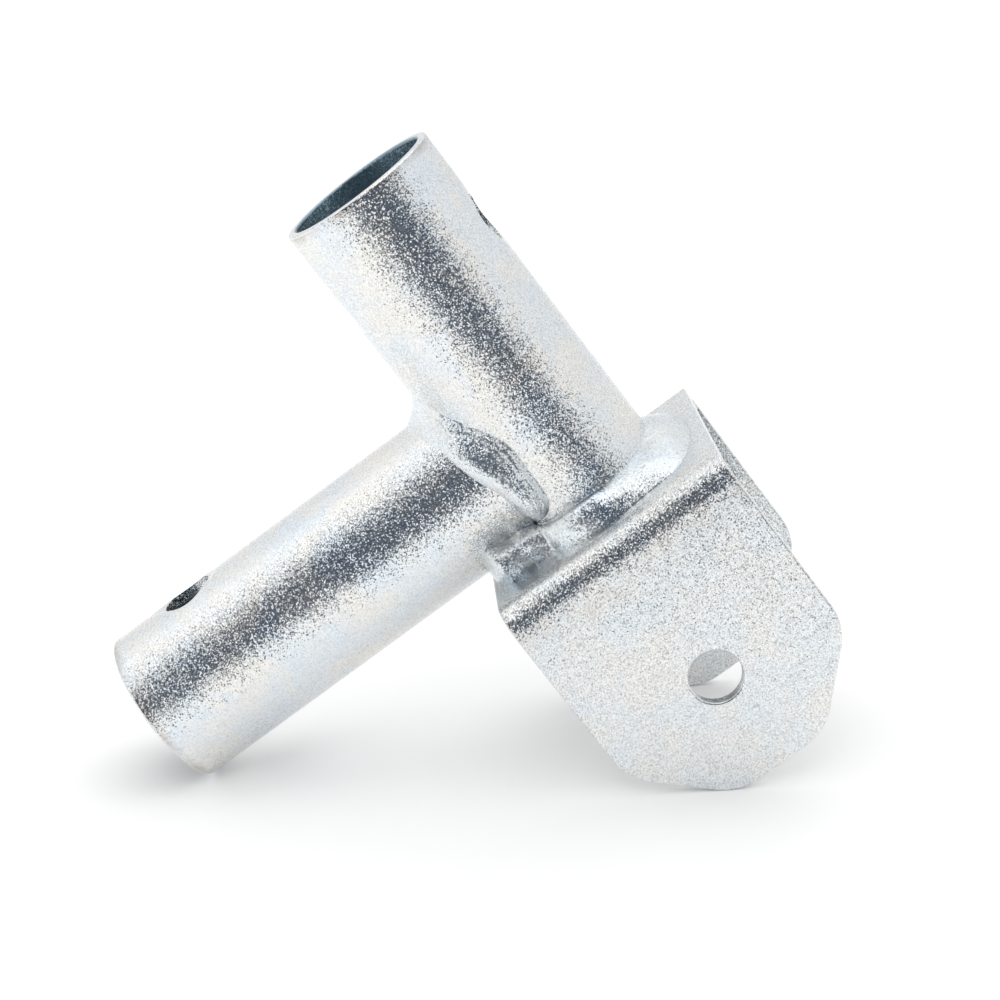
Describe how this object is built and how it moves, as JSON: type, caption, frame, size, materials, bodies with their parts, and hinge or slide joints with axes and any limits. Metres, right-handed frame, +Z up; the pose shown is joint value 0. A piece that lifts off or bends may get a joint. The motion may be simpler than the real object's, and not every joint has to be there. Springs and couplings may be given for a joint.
{
  "type": "trampoline frame corner socket",
  "caption": "Welded steel corner socket: an upright tube and a side tube at right angles on a folded clevis with a bolt hole.",
  "frame": {"origin": "middle of the part's footprint box, on the floor that it rests on", "axes": "+X from the side tube's mouth towards the clevis, +Y along the clevis bolt, +Z up with the part lying as it comes to rest"},
  "size_m": [0.1456, 0.061, 0.1298],
  "materials": {
    "zinc_tube": "bright zinc plating with a fine grain",
    "zinc_sheet": "bright zinc plating on rolled sheet, fine grain",
    "zinc_weld": "zinc plating over smooth rippled weld metal"
  },
  "bodies": {
    "root": {"upright_tube": "zinc_tube", "side_tube": "zinc_tube", "clevis_bracket": "zinc_sheet", "seam_weld": "zinc_weld", "base_weld": "zinc_weld"}
  },
  "joints": []
}
